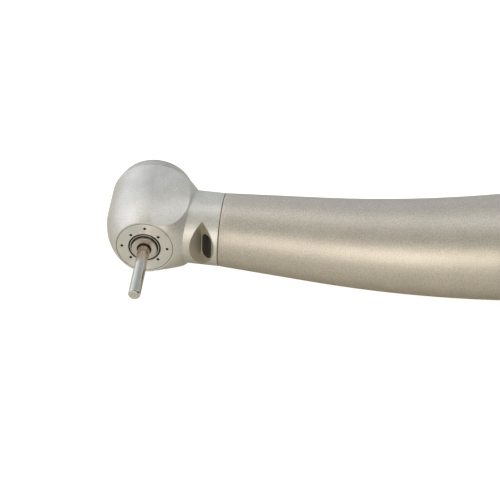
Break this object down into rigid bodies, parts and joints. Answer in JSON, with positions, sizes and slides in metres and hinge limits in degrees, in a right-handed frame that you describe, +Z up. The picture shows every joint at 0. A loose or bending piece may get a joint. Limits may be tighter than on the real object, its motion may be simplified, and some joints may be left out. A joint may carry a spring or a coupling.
{
  "type": "dental turbine handpiece",
  "caption": "Air-turbine dental handpiece: round head with spray plate, push-button chuck and bur blank, notched neck with light window, bent tapering handle with a rear coupling socket.",
  "frame": {"origin": "centre of the coupling socket's mouth, on the rear face of the handle", "axes": "+X out of the socket mouth along the rear of the handle, +Y toward the side the head cap faces, +Z up with the handpiece lying on its side"},
  "size_m": [0.1099, 0.0304, 0.0154],
  "materials": {
    "head_metal": "fine blasted satin",
    "cap_metal": "fine blasted satin",
    "button_metal": "turned satin",
    "plate_metal": "lathe turned",
    "dust_metal": "turned",
    "spindle_steel": "ground",
    "chuck_steel": "ground",
    "blank_steel": "polished",
    "bearing_steel": "polished",
    "spring_steel": "bright",
    "cage_resin": "matte",
    "impeller_alloy": "machined",
    "seal_rubber": "matte",
    "window_glass": "polished",
    "guide_glass": "clear",
    "tube_steel": "drawn",
    "sheath_metal": "fine satin",
    "spacer_resin": "matte",
    "manifold_brass": "machined",
    "socket_steel": "turned"
  },
  "bodies": {
    "handpiece": {"head_housing": "head_metal", "spray_plate": "plate_metal", "front_outer_ring": "bearing_steel", "rear_outer_ring": "bearing_steel", "front_bearing_seal": "seal_rubber", "rear_bearing_seal": "seal_rubber", "preload_washer": "spring_steel", "head_cap": "cap_metal", "button_ring": "spring_steel", "button_spring": "spring_steel", "light_window": "window_glass", "light_guide": "guide_glass", "drive_air_tube": "tube_steel", "water_tube": "tube_steel", "chip_air_tube": "tube_steel", "neck_seal": "seal_rubber", "handle_sheath": "sheath_metal", "tube_spacer": "spacer_resin", "manifold": "manifold_brass", "port_seals": "seal_rubber", "coupling_socket": "socket_steel", "sheath_seal": "seal_rubber"},
    "rotor": {"spindle": "spindle_steel", "dust_ring": "dust_metal", "impeller": "impeller_alloy", "front_inner_ring": "bearing_steel", "rear_inner_ring": "bearing_steel", "collet": "chuck_steel"},
    "front_ball_set": {"front_cage": "cage_resin", "front_balls": "bearing_steel"},
    "rear_ball_set": {"rear_cage": "cage_resin", "rear_balls": "bearing_steel"},
    "plunger": {"chuck_plunger": "chuck_steel"},
    "button": {"push_button": "button_metal"},
    "bur": {"bur_blank": "blank_steel"}
  },
  "joints": [
    {"name": "rotor_spin", "type": "hinge", "parent": "handpiece", "child": "rotor", "pos_m": [-0.10569, 0.00875, 0], "axis": [-0.3, -0.9539, 0], "continuous": true},
    {"name": "front_cage_spin", "type": "hinge", "parent": "handpiece", "child": "front_ball_set", "pos_m": [-0.10569, 0.00875, 0], "axis": [-0.3, -0.9539, 0], "continuous": true},
    {"name": "rear_cage_spin", "type": "hinge", "parent": "handpiece", "child": "rear_ball_set", "pos_m": [-0.10569, 0.00875, 0], "axis": [-0.3, -0.9539, 0], "continuous": true},
    {"name": "button_press", "type": "slide", "parent": "handpiece", "child": "button", "axis": [-0.3, -0.9539, 0], "range_m": [0, 0.00055], "stiffness_N_per_m": 8000, "springref_m": -0.0005, "deforming": ["button_spring"]},
    {"name": "plunger_slide", "type": "slide", "parent": "rotor", "child": "plunger", "axis": [-0.3, -0.9539, 0], "range_m": [0, 0.00034]},
    {"name": "bur_draw", "type": "slide", "parent": "rotor", "child": "bur", "axis": [-0.3, -0.9539, 0], "range_m": [0, 0.0095]}
  ],
  "couplings": [
    {"joint": "front_cage_spin", "follows": "rotor_spin", "ratio": 0.39501},
    {"joint": "rear_cage_spin", "follows": "rotor_spin", "ratio": 0.39501},
    {"joint": "plunger_slide", "follows": "button_press", "ratio": 0.6}
  ]
}
